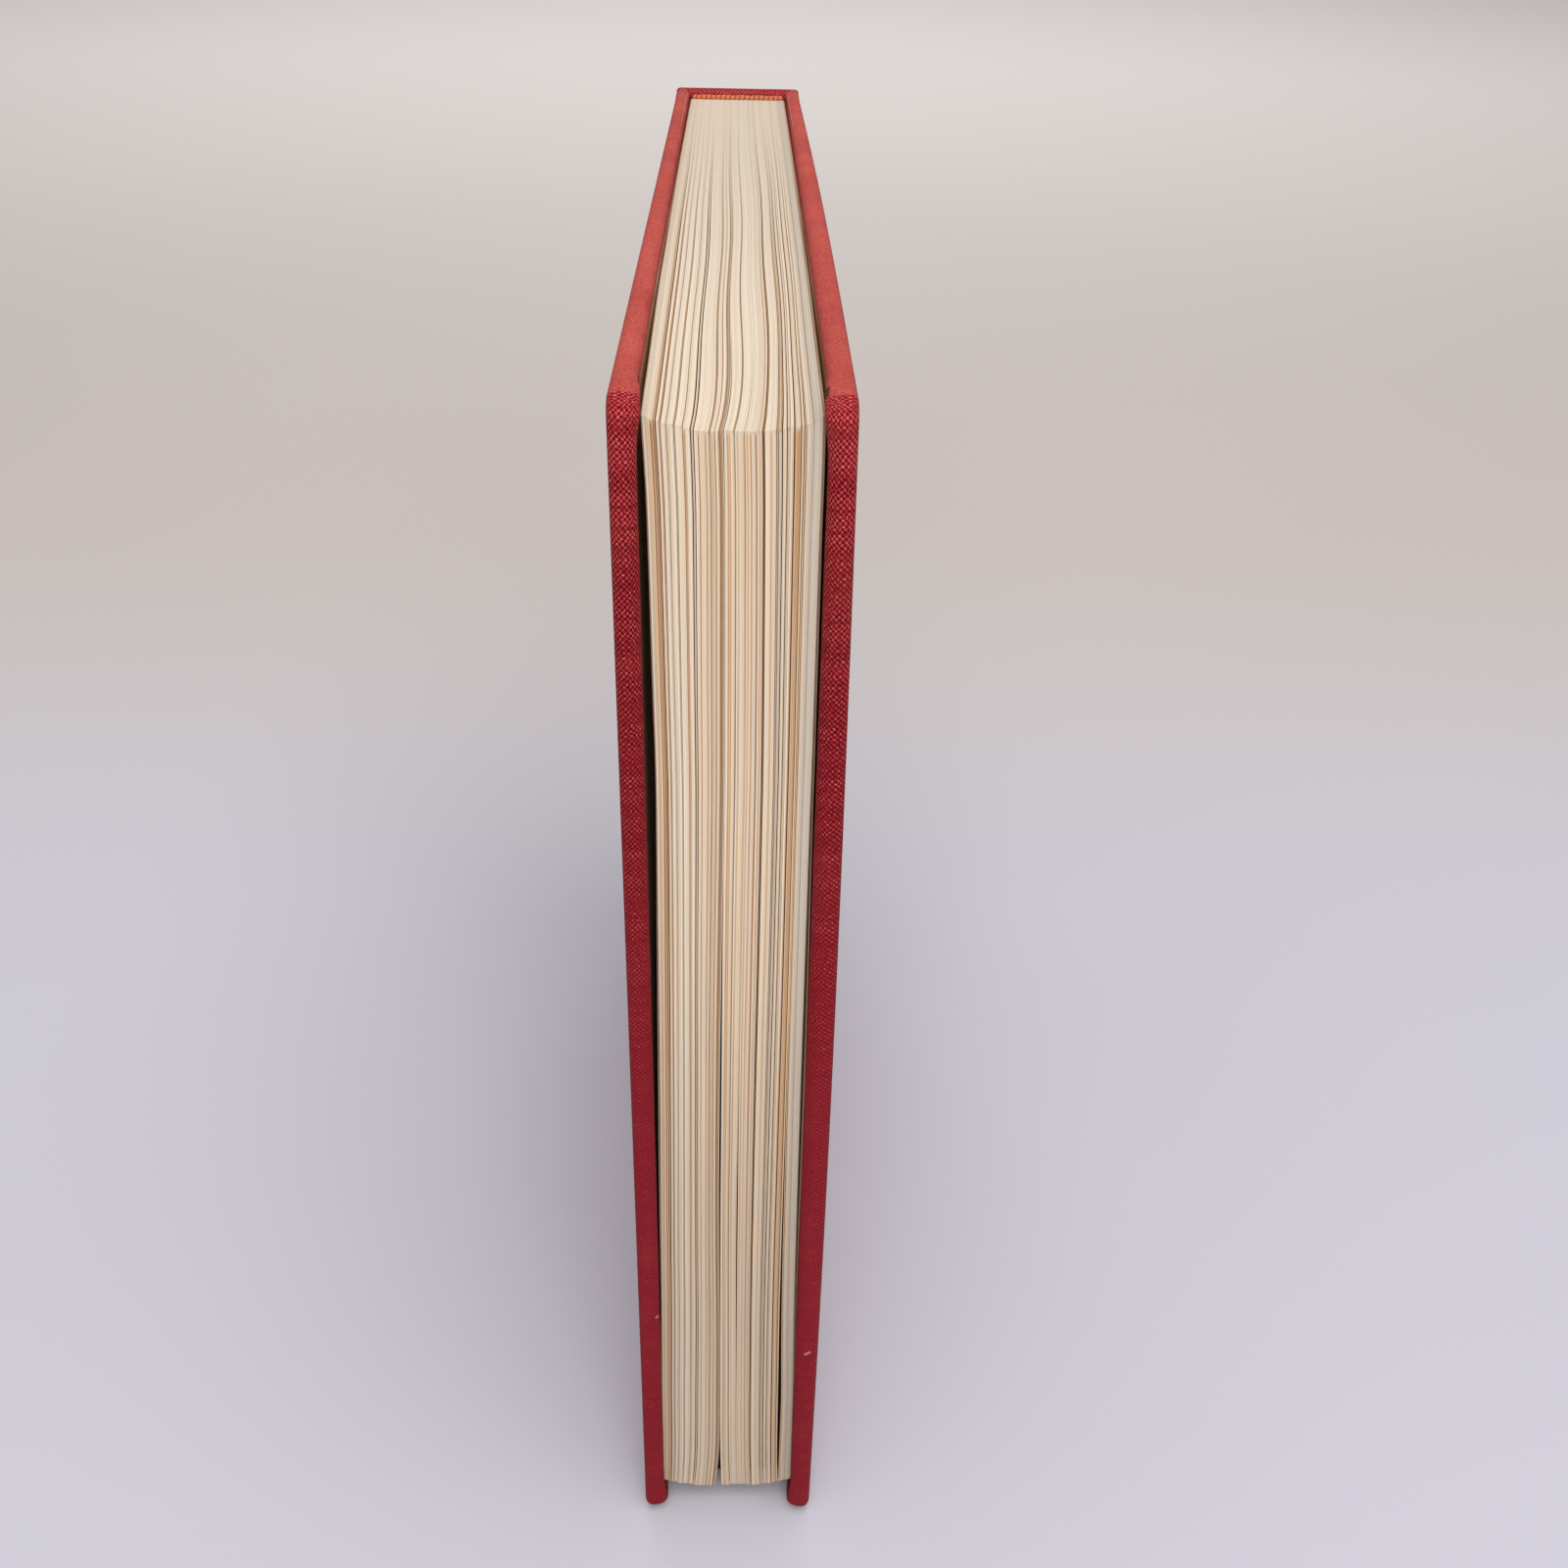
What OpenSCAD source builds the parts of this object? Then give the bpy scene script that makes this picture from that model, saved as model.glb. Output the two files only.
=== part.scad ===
// Case-bound book in red cloth, standing on its tail with the fore edge towards -Y.
// X runs through the thickness with the front cover on the -X side, Y from fore edge to spine, Z up.
// The origin is the middle of the footprint, on the surface that the book stands on.

/* [Case] */
// Height of the covers, tail to head
book_h = 208; // [150:1:300]
// Depth of the book, fore edge of the covers to the back of the spine
book_d = 191; // [110:1:260]
// Thickness of the cover boards
board_t = 2; // [1.5:0.1:3.5]
// Thickness of the card in the spine
spine_card_t = 1.4; // [1:0.1:3]
// Thickness of the covering cloth
cloth_t = 0.42; // [0.25:0.01:0.6]
// Width of the cloth turned in round the edges
turn_in = 15; // [10:0.5:20]
// Rounding of the cloth where it is folded over an edge
edge_r = 1; // [0.7:0.05:1.05]
// Rounding of the cover corners at the fore edge
corner_r = 3.2; // [1.5:0.1:4]
// Thickness of the cloth tucked into each fore edge corner
tuck_t = 0.5; // [0.2:0.05:0.7]
// Length of the corner tuck along head and tail
tuck_along = 10; // [5:0.5:14]
// Length of the corner tuck down the fore edge
tuck_down = 5.5; // [4:0.5:10]

/* [Joints] */
// Slack between a cover and the spine at the cloth joint
joint_clear = 0.3; // [0.2:0.05:0.6]
// Bare cloth between the spine and the end of a board
joint_gap = 2.2; // [1:0.1:6]

/* [Leaves] */
// Thickness of the leaves at the spine
text_w_spine = 19.1; // [10:0.1:40]
// Thickness of the leaves at the fore edge
text_w_fore = 21.6; // [12:0.1:44]
// Height of the leaves
text_h = 201.7; // [140:0.1:292]
// Distance from the head of the covers down to the leaves at the spine
head_square = 1.8; // [1.7:0.1:5]
// Distance from the fore edge of the covers back to the leaves
fore_square = 2.5; // [1:0.1:6]
// Drop of the outer leaves at the fore edge
sag_side = 1.4; // [0:0.1:2]
// Drop of the middle leaves at the fore edge
sag_mid = 3.3; // [0:0.1:3.5]
// Number of clumps that the leaves have settled into
leaf_clumps = 20; // [12:1:24]
// Depth of the grooves between clumps
groove_d = 0.6; // [0.2:0.1:1]
// Width of the grooves between clumps
groove_w = 0.24; // [0.1:0.02:0.3]
// Unevenness of the clumps at head and fore edge
clump_step = 0.3; // [0:0.05:0.5]
// Side bow of the leaves along the head, which straightens at the fore edge
leaf_bow = 1.3; // [0:0.1:1.6]
// Side sway of the cockled leaves at the head
cockle_a = 0.2; // [0:0.05:0.8]
// Length of one cockle wave
cockle_len = 52; // [30:1:90]
// Distance below the head over which the cockles fade
cockle_reach = 45; // [20:1:90]
// Opening of the wide split at the tail, between the leaves
split_w = 1.5; // [0.4:0.1:1.8]
// Height of the wide split up the fore edge
split_h = 15; // [8:1:25]
// Reach of the splits along the tail, from the fore edge
split_back = 30; // [10:1:60]
// Depth of the wide split at the tail corner
split_in = 6; // [1:0.5:10]
// Opening of the narrow slit nearer the back cover
slit_w = 0.45; // [0:0.05:0.8]
// Height of the narrow slit up the fore edge
slit_h = 75; // [20:1:120]

/* [Endpapers and bands] */
// Thickness of an endpaper leaf
leaf_t = 0.15; // [0.1:0.01:0.25]
// Slack between a closed cover and the leaves at the spine
page_clear = 0.1; // [0.08:0.01:0.3]
// Gap between a cover and the leaves at the fore edge
fore_gap = 0.75; // [0.75:0.05:2]
// Cloth margin left showing round a pasted endpaper
paste_margin = 3; // [2:0.1:6]
// Radius of the corded edge of the bands
band_r = 0.8; // [0.5:0.05:0.85]
// Length of band ribbon glued down the back of the leaves
band_tail = 9; // [5:0.5:20]
// Thickness of the lining and ribbon on the back of the leaves
lining_t = 0.3; // [0.2:0.05:0.6]
// Hollow between the lining and the spine of the case
hollow = 0.1; // [0.05:0.05:0.6]

/* [Hidden] */
$fn = 48;
past = 1;
cloth_red = [0.62, 0.16, 0.18];
page_cream = [0.88, 0.80, 0.68];

cover_t = board_t + 2 * cloth_t;
spine_t = spine_card_t + 2 * cloth_t;
spine_r = min(edge_r, spine_t / 2);
back_y = book_d / 2;
joint_y = back_y - spine_t;
hinge_y = joint_y - joint_clear / 2;
cover_len = book_d - spine_t - joint_clear;
board_face = cloth_t + board_t;
half_in = text_w_spine / 2 + leaf_t + page_clear + leaf_t;
half_out = half_in + cover_t;

text_back = joint_y - hollow - lining_t;
text_fore = fore_square - book_d / 2;
text_d = text_back - text_fore;
head_z = book_h - head_square;
tail_z = head_z - text_h;
half_fore = text_w_fore / 2 + leaf_t + fore_gap + leaf_t;
splay = atan((half_fore - half_in) / text_d);
leaf_turn = atan((text_w_fore - text_w_spine) / 2 / text_d);

// Rectangle with four rounded corners, from corner a to corner b
module soft_rect(a, b, r) {
    translate([a.x + r, a.y])
        square([b.x - a.x - 2 * r, b.y - a.y]);
    translate([a.x, a.y + r])
        square([b.x - a.x, b.y - a.y - 2 * r]);
    for (x = [a.x + r, b.x - r], y = [a.y + r, b.y - r])
        translate([x, y])
            circle(r);
}

// Box from corner a to corner b
module span(a, b) {
    translate(a)
        cube(b - a);
}

// Extrudes a YZ outline along X, from x0 to x1
module along_x(x0, x1) {
    translate([x0, 0, 0])
        rotate([90, 0, 90])
            linear_extrude(x1 - x0)
                children();
}

// Cover frame: outer face at x = 0, hinge end at y = 0, fore edge at y = -cover_len
module on_front() {
    translate([-half_out, hinge_y, 0])
        rotate([0, 0, -splay])
            translate([0, -joint_clear / 2, 0])
                children();
}

module on_back() {
    mirror([1, 0, 0])
        on_front()
            children();
}

// Face of a cover, drawn past its hinge end and rounded at the fore edge corners only
module cover_outline(inset) {
    soft_rect([inset - cover_len, inset], [2 * corner_r + past, book_h - inset], corner_r - inset);
}

// Outside of a clothed cover: three crossing profiles round the head, tail and fore edges
module cover_solid() {
    intersection() {
        linear_extrude(book_h)
            soft_rect([0, -cover_len], [cover_t, 2 * edge_r + past], edge_r);
        rotate([90, 0, 0])
            linear_extrude(cover_len)
                soft_rect([0, 0], [cover_t, book_h], edge_r);
        along_x(0, cover_t)
            cover_outline(0);
    }
}

// Cloth folded twice into the head corner, where the endpaper leaves it bare
module corner_tuck() {
    corner = [edge_r - cover_len, book_h - edge_r];
    along_x(cover_t, cover_t + tuck_t)
        difference() {
            polygon([corner, corner - [0, tuck_down], corner + [tuck_along, 0]]);
            translate([paste_margin - cover_len, 0])
                square([cover_len, book_h - paste_margin]);
        }
}

module cover_board() {
    along_x(cloth_t, board_face)
        difference() {
            cover_outline(cloth_t);
            translate([-joint_gap, -past])
                square([3 * corner_r + joint_gap, book_h + 2 * past]);
        }
}

// Cloth over one cover, with turn-ins at head, tail and fore edge
module cover_cloth() {
    difference() {
        cover_solid();
        along_x(cloth_t, board_face)
            cover_outline(cloth_t);
        span([cloth_t, turn_in - cover_len, turn_in], [cover_t + past, past, book_h - turn_in]);
    }
    corner_tuck();
    translate([0, 0, book_h])
        mirror([0, 0, 1])
            corner_tuck();
}

// Pasted endpaper: laid on the board and raised where the turn-ins lie under it
module pastedown() {
    top = cover_t + leaf_t;
    difference() {
        span(
            [board_face, paste_margin - cover_len, paste_margin],
            [top, -joint_gap, book_h - paste_margin]
        );
        difference() {
            span([0, -cover_len, 0], [cover_t, past, book_h]);
            span([-past, turn_in - cover_len, turn_in], [top, 2 * past, book_h - turn_in]);
        }
        span(
            [board_face + leaf_t, turn_in + leaf_t - cover_len, turn_in + leaf_t],
            [top + past, past, book_h - turn_in - leaf_t]
        );
    }
}

// Plan of the spine, drawn past its front so that only the back corners are rounded
module spine_plan(inset) {
    soft_rect(
        [inset - half_out, joint_y - 2 * spine_r],
        [half_out - inset, back_y - inset],
        spine_r - inset
    );
}

// Outside of the clothed spine, rounded at its back corners and at head and tail
module spine_solid() {
    intersection() {
        linear_extrude(book_h)
            spine_plan(0);
        along_x(-half_out, half_out)
            soft_rect([joint_y, 0], [back_y, book_h], spine_r);
    }
}

module spine_card() {
    intersection() {
        linear_extrude(book_h)
            spine_plan(cloth_t);
        span(
            [-half_out, joint_y + cloth_t, cloth_t],
            [half_out, back_y - cloth_t, book_h - cloth_t]
        );
    }
}

// Corded ribbon on the head of the leaves, with its tail glued to their back
module band() {
    along_x(-text_w_spine / 2, text_w_spine / 2) {
        translate([text_back + lining_t - band_r, head_z + band_r])
            circle(band_r);
        translate([text_back, head_z - band_tail])
            square([lining_t, band_tail + band_r]);
    }
}

// Free endpaper, lying on the outer leaf
module flyleaf() {
    translate([text_w_spine / 2, text_back, 0])
        rotate([0, 0, leaf_turn])
            along_x(0, leaf_t)
                polygon([
                    [0, tail_z],
                    [0, head_z],
                    [-text_d, head_z - sag_side],
                    [-text_d, tail_z - sag_side],
                ]);
}

// Leaves

// Clump edges across the block, from -1 at the front leaf to 1 at the back leaf
clump_share = rands(0.6, 1.4, leaf_clumps, 11);
function total(list, n) = n == 0 ? 0 : list[n - 1] + total(list, n - 1);
clump_edge = [for (i = [0:leaf_clumps]) 2 * total(clump_share, i) / total(clump_share, leaf_clumps) - 1];
head_step = rands(-clump_step, clump_step, leaf_clumps, 23);
fore_step = rands(-clump_step, clump_step, leaf_clumps, 37);

// The wide split opens to the left of the middle, a narrow one nearer the back cover
split_place = 0.4;
slit_place = 0.75;
split_at = clump_edge[round(leaf_clumps * split_place)];
slit_at = clump_edge[round(leaf_clumps * slit_place)];
split_fade = 0.3;

// Columns across the block: both edges of each clump and the groove after it, as [place, clump, in groove]
lip = groove_w / text_w_fore;
columns = [
    for (i = [0:leaf_clumps - 1], part = [0:2])
        if (part < 2 || i < leaf_clumps - 1)
            part == 0 ? [clump_edge[i] + (i > 0 ? lip : 0), i, 0]
            : part == 1 ? [clump_edge[i + 1] - (i < leaf_clumps - 1 ? lip : 0), i, 0]
            : [clump_edge[i + 1], i, 1]
];

// Stations round a leaf as [depth, height] shares: along the head, down the fore edge, back along the tail
head_depths = [0, 0.12, 0.25, 0.38, 0.5, 0.62, 0.74, 0.84, 0.92, 0.97, 1];
tail_steps = 6;
fore_levels = [0.92, 0.78, 0.55, 0.3, 0.15, 0.07];
stations = concat(
    [for (d = head_depths) [d, 1]],
    [for (h = fore_levels) [1, h]],
    [for (i = [tail_steps:-1:0]) [i / tail_steps, 0]]
);
leaf_middle = [0.5, 0.5];

// The bow is full from this share of the depth, and the power sets how late it straightens
bow_start = 0.6;
bow_end = 20;

function mix(a, b, t) = a + (b - a) * t;
function fade(distance, reach) = max(0, 1 - distance / reach);
function sag(place) = mix(sag_mid, sag_side, pow(abs(place), 3));
function cockle(place, depth, height) =
    (1 - place * place) * exp(-(1 - height) * text_h / cockle_reach)
    * (cockle_a * depth * sin(360 * depth * text_d / cockle_len + 70 * place)
        + leaf_bow * sin(90 * min(1, depth / bow_start)) * (1 - pow(depth, bow_end)));

// How far a split is open at a station, from 0 to 1
function open_at(depth, height, up) = fade(height * text_h, up) * fade((1 - depth) * text_d, split_back);
function parted(place, at, width, open) =
    (place < at ? -0.5 : place > at ? 0.5 : 0) * width * open * exp(-abs(place - at) / split_fade);

function leaf_point(column, station) =
    let (
        place = column[0],
        depth = station[0],
        height = station[1],
        at_fore = depth == 1 ? 1 : 0,
        at_head = height == 1 ? 1 : 0,
        at_tail = height == 0 ? 1 : 0,
        wide = open_at(depth, height, split_h),
        narrow = open_at(depth, height, slit_h),
        sunk = column[2] * (groove_d + (place == split_at ? split_in * wide : 0)),
        half_w = mix(text_w_spine, text_w_fore, depth) / 2,
        sway = cockle(place, depth, height)
            + parted(place, split_at, split_w, wide)
            + parted(place, slit_at, slit_w, narrow) * (1 - abs(place))
    ) [
        place * half_w + (abs(place) < 1 ? sway : 0),
        mix(text_back, text_fore, depth) + at_fore * (fore_step[column[1]] * (1 - abs(place)) + sunk),
        tail_z + height * text_h - sag(place) * depth
            + depth * (at_head * (head_step[column[1]] * (1 - abs(place)) - sunk) + at_tail * sunk)
    ];

// Quads between neighbouring columns, each split in two, and a flat leaf at either side that fans from its middle
module leaves() {
    ring = len(stations);
    last = len(columns) - 1;
    skin = [
        for (c = [0:last - 1], s = [0:ring - 1])
            let (a = c * ring + s, b = c * ring + (s + 1) % ring)
                each [[a, b, b + ring], [a, b + ring, a + ring]]
    ];
    front_mid = len(columns) * ring;
    back_mid = front_mid + 1;
    front_leaf = [for (s = [0:ring - 1]) [(s + 1) % ring, s, front_mid]];
    back_leaf = [for (s = [0:ring - 1]) [last * ring + s, last * ring + (s + 1) % ring, back_mid]];
    polyhedron(
        points = concat(
            [for (column = columns, station = stations) leaf_point(column, station)],
            [leaf_point(columns[0], leaf_middle), leaf_point(columns[last], leaf_middle)]
        ),
        faces = concat(skin, front_leaf, back_leaf)
    );
}

module text_block() { color(page_cream) leaves(); }
module head_band() { color([0.92, 0.59, 0.45]) band(); }
module tail_band() {
    color([0.92, 0.59, 0.45])
        translate([0, 0, head_z + tail_z])
            mirror([0, 0, 1])
                band();
}
module spine_lining() {
    color([0.80, 0.74, 0.62])
        span(
            [-text_w_spine / 2, text_back, tail_z + band_tail],
            [text_w_spine / 2, text_back + lining_t, head_z - band_tail]
        );
}
module front_flyleaf() {
    color([0.90, 0.84, 0.73])
        mirror([1, 0, 0])
            flyleaf();
}
module back_flyleaf() { color([0.90, 0.84, 0.73]) flyleaf(); }
module spine_strip() { color([0.60, 0.54, 0.45]) spine_card(); }
module spine_cloth() {
    color(cloth_red)
        difference() {
            spine_solid();
            spine_card();
            span(
                [cloth_t - half_out, joint_y - past, turn_in],
                [half_out - cloth_t, joint_y + 2 * cloth_t, book_h - turn_in]
            );
        }
}
module front_board() { color([0.60, 0.54, 0.45]) on_front() cover_board(); }
module front_cloth() { color(cloth_red) on_front() cover_cloth(); }
module front_pastedown() { color([0.90, 0.84, 0.73]) on_front() pastedown(); }
module back_board() { color([0.60, 0.54, 0.45]) on_back() cover_board(); }
module back_cloth() { color(cloth_red) on_back() cover_cloth(); }
module back_pastedown() { color([0.90, 0.84, 0.73]) on_back() pastedown(); }

text_block();
head_band();
tail_band();
spine_lining();
front_flyleaf();
back_flyleaf();
spine_strip();
spine_cloth();
front_board();
front_cloth();
front_pastedown();
back_board();
back_cloth();
back_pastedown();
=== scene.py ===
import math

import bmesh
import bpy
import numpy as np
from mathutils import Matrix, Vector


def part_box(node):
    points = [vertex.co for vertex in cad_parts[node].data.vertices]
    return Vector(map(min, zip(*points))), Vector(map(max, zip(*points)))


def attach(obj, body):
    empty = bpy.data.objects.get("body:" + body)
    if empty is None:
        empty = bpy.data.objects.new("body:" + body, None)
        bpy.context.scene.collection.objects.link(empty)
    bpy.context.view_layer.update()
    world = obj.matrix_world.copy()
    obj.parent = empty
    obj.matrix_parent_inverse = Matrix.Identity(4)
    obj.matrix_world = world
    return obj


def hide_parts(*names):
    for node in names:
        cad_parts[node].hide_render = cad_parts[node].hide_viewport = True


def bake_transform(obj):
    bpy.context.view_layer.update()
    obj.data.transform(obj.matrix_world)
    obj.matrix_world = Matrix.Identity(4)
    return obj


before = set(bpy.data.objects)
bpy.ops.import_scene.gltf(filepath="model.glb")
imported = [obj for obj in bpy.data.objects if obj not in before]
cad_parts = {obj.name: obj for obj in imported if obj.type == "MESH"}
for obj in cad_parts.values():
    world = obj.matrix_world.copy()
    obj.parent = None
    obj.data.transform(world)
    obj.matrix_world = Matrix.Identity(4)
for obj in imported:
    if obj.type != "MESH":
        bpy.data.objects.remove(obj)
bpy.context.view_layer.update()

# Leaves: folded sheets of book paper, sewn and glued at the back and trimmed on three sides.
# Age has bowed them along the head, let them sag at the fore edge and parted them in three places.
mm = 0.001
rng = np.random.default_rng(7)


def box_mm(node):
    """The two corners of a frame node's box, in millimetres."""
    return [np.array(corner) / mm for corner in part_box(node)]


def ease(value, start, end):
    t = np.clip((value - start) / (end - start), 0, 1)
    return t * t * (3 - 2 * t)


def piece(name, points, faces, loop_uv=None, uv_name="weave"):
    """A new mesh from points in millimetres, with a UV pair for each face corner."""
    mesh = bpy.data.meshes.new(name)
    mesh.from_pydata((np.asarray(points) * mm).tolist(), [], faces)
    if loop_uv is not None:
        layer = mesh.uv_layers.new(name=uv_name)
        layer.data.foreach_set("uv", np.asarray(loop_uv, np.float32).ravel())
    made = bpy.data.objects.new(name, mesh)
    bpy.context.scene.collection.objects.link(made)
    return made


leaf_t = 0.15
fly_low, fly_high = box_mm("back_flyleaf")
text_back, text_fore = fly_high[1], fly_low[1]
spine_half, fore_half = fly_low[0], fly_high[0] - leaf_t
head_z = fly_high[2]
sag_side, sag_mid = 1.4, 3.3
tail_lift = 3.1
tail_z = fly_low[2] + sag_side + tail_lift
text_d, text_h = text_back - text_fore, head_z - tail_z

leaf_count, fold_count, gap_count = 132, 34, 8
air = rng.uniform(0.004, 0.02, leaf_count)
fold_after = rng.choice(leaf_count, fold_count, replace=False)
air[fold_after] = rng.uniform(0.035, 0.07, fold_count)
air[fold_after[:gap_count]] = rng.uniform(0.09, 0.15, gap_count)
share = rng.uniform(0.45, 1.55, leaf_count)
share[fold_after] *= 0.5
share *= (2 * fore_half - air.sum()) / share.sum()
right_edge = np.cumsum(share + air) - air
left_edge = right_edge - share
leaf_left, leaf_right = left_edge / fore_half - 1, right_edge / fore_half - 1
leaf_mid = (leaf_left + leaf_right) / 2
slack = np.concatenate([[0], (leaf_left[1:] - leaf_right[:-1]) / 2, [0]])

# Each parting runs up the fore edge: its place across the block, heights on the leaves,
# the width at each height, and the share of that width by which the left side gives way
partings = [
    (-0.12, [0, 4, 9, 16, 40, 62, 85, 105, 135, 190, 206],
     [1.15, 0.7, 0.28, 0.1, 0.08, 0.2, 0.3, 0.25, 0.05, 0.05, 0.16], 0.75),
    (0.775, [0, 10, 22, 40, 62, 84, 112, 206], [0.2, 0.45, 0.6, 0.4, 0.24, 0.1, 0, 0.1], 0.3),
    (0.12, [0, 30, 52, 70, 88, 104, 206], [0, 0.05, 0.15, 0.18, 0.06, 0, 0.05], 0.5),
]
between = (leaf_right[:-1] + leaf_left[1:]) / 2
partings = [(between[np.argmin(abs(between - at))], *shape) for at, *shape in partings]

# The waist and the lean of the block by height, the size of its smaller bends, and how far each reaches
waist_z = [0, 24, 46, 91, 146, 186, 199, 203]
waist_w = [0.6, 0.5, 0.15, -0.2, -0.5, -0.35, -0.12, 0.0]
lean_z, lean_w = [0, 60, 110, 150, 190, 203], [0, 0.05, 0.3, 0.5, 0.3, 0]
head_swell, bow_w, wave_w, drift_w = 0.2, 0.85, 0.24, 0.16
bow_reach, wave_reach, parting_d = 45, 40, 40
free_from = 0.7


def block_half(depth, height):
    """Half the block's thickness, at shares of its depth and height."""
    waist = np.interp(height * text_h, waist_z, waist_w)
    head = head_swell * np.sin(np.pi * np.clip(depth, 0, 1)) * ease(height, 0.75, 1)
    return spine_half + (fore_half - spine_half) * depth + waist * ease(depth, free_from, 1) + head


def leaf_x(place, depth, height):
    """Where a leaf stands across the block; place runs from -1 at the front to 1."""
    inner = 1 - place ** 2
    from_head = (height - 1) * text_h
    bow = bow_w * inner ** 1.3 * ease(depth, 0, 0.6) * (1 - depth ** 20) * np.exp(from_head / bow_reach)
    wave = wave_w * inner * np.sin(depth * 16 + place * 4) * depth * np.exp(from_head / wave_reach)
    drift = drift_w * inner * np.sin(height * 7 + place * 3.1 + 1.2) * depth
    spread = 0
    for at, level, width, share_left in partings:
        open_w = np.interp(height * text_h, level, width) * ease(depth, 1 - parting_d / text_d, 1)
        side = np.where(place < at, -share_left, 1 - share_left)
        reach = np.where(place < at, 1 + at, 1 - at)
        spread = spread + side * open_w * np.clip(1 - np.abs(place - at) / reach, 0, 1) ** 0.6
    lean = np.interp(height * text_h, lean_z, lean_w) * ease(depth, free_from, 1)
    return place * block_half(depth, height) + bow + wave + drift + spread + lean


def sag(place):
    """How far the leaves have dropped at the fore edge."""
    return sag_mid + (sag_side - sag_mid) * np.abs(place) ** 3


head_n, fore_n, tail_n = 40, 44, 14
depth = np.concatenate([np.linspace(0, 1, head_n), np.ones(fore_n - 2), np.linspace(1, 0, tail_n)])
height = np.concatenate([np.ones(head_n), np.linspace(1, 0, fore_n)[1:-1] ** 1.1, np.zeros(tail_n)])
at_head, at_fore = height == 1, depth == 1
run = np.concatenate([[0], np.cumsum(np.hypot(np.diff(depth) * text_d, np.diff(height) * text_h))])
strip_in = 6
clump_of = np.cumsum(air > 0.03)
lift = rng.uniform(-0.14, 0.14, leaf_count)[clump_of] + rng.uniform(-0.05, 0.05, leaf_count)
push = rng.uniform(-0.14, 0.14, leaf_count)[clump_of] + rng.uniform(-0.06, 0.06, leaf_count)
rings = len(run)
points, faces, uv, tone, grey, gap_shade = [], [], [], [], [], []
# Stains on single leaves: place across the block, width and strength
stains = [
    (-0.885, 0.03, 1.0), (-0.71, 0.012, 0.65), (-0.56, 0.015, 0.45), (-0.39, 0.02, 0.5), (-0.22, 0.012, 0.6),
    (-0.06, 0.014, 0.6), (0.15, 0.01, 0.45), (0.265, 0.013, 0.85), (0.43, 0.015, 0.5), (0.71, 0.05, 0.75),
]
# The leaves' sides face the gaps between them and get a browner tone: painted shade in the gaps
side_shade_tone, end_tone = 0.85, 0.5
shut = 1 - ease(depth, 0.04, 0.6)
for i in range(leaf_count):
    corners = []
    sides = (leaf_left[i] - slack[i] * shut, leaf_right[i] + slack[i + 1] * shut)
    for place in sides:
        x = leaf_x(place, depth, height)
        y = text_back - depth * text_d + push[i] * at_fore
        z = tail_z + height * text_h - sag(place) * depth + lift[i] * depth * at_head
        corners.append(np.stack([x, y, z], 1))
    inner = []
    for place, ring in zip(sides[::-1], corners[::-1]):
        moved = ring.copy()
        moved[:, 1] = np.maximum(moved[:, 1], text_fore + strip_in)
        moved[:, 2] = np.clip(moved[:, 2], tail_z + strip_in, head_z - sag_mid - strip_in)
        deep = (text_back - moved[:, 1]) / text_d
        moved[:, 0] = leaf_x(place, deep, (moved[:, 2] - tail_z + sag(place) * deep) / text_h)
        inner.append(moved)
    start = len(points) * rings
    points += [*corners, *inner]
    for s in range(rings - 1):
        for k in range(4):
            a, b = start + k * rings + s, start + (k + 1) % 4 * rings + s
            faces.append((a, a + 1, b + 1, b))
    faces.append(tuple(start + k * rings for k in range(4)))
    faces.append(tuple(start + k * rings + rings - 1 for k in (3, 2, 1, 0)))
    stain = sum(weight * math.exp(-((leaf_mid[i] - at) / width) ** 2) for at, width, weight in stains)
    stain *= rng.uniform(0.3, 1.5)
    # Leaves beside a wider gap get a browner edge, and every leaf's sides are marked browner: painted shade
    # in and beside the gaps
    folded = rng.uniform(0.6, 1) if i in fold_after else 0
    gap_shade += [folded, 1.0, 1.0, 1.0] * (rings - 1) + [0.0, 0.0]
    streak = rng.uniform(0.3, 0.6) if rng.random() < 0.16 else 0
    edge_tone = min(1, 0.06 + rng.uniform(0, 0.24) + streak + stain)
    tone += [edge_tone, side_shade_tone, side_shade_tone, side_shade_tone] * (rings - 1) + [end_tone, end_tone]
    dull = max(ease(leaf_mid[i], 0.8, 0.86), 0.6 * ease(-leaf_mid[i], 0.93, 0.96), rng.random() ** 8)
    grey += [float(dull), 0.0, 0.0, 0.0] * (rings - 1) + [0.0, 0.0]
    for across in (0, 0.8, 0.8, 0):
        uv += [(i + across, length) for length in run]
points = np.concatenate(points)
uv = np.array(uv)

# A plain core behind the strips keeps the block solid; it is painted dark brown, as painted shade deep
# between the leaves
core = []
core_places = np.linspace(-0.84, 0.84, 9)
core_outline = ((0, 0.985), (0.975, 0.955), (0.985, 0.003), (0, 0.003))
for place in core_places:
    for d, h in core_outline:
        z = tail_z + h * text_h - sag(place) * d
        core.append((float(leaf_x(place, np.array(d), np.array(h))), text_back - d * text_d, z))
base = len(points)
points = np.concatenate([points, core])
core_faces = [(0, 1, 2, 3), tuple(len(core) - k for k in (1, 2, 3, 4))]
for k in range(len(core_places) - 1):
    core_faces += [(4 * k + e, 4 * k + 4 + e, 4 * k + 4 + (e + 1) % 4, 4 * k + (e + 1) % 4) for e in range(4)]
faces += [tuple(base + k for k in face) for face in core_faces]
uv = np.concatenate([uv, [(k, 0) for k in range(len(core))]])
tone += [1.0] * len(core_faces)
grey += [0.0] * len(core_faces)
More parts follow.
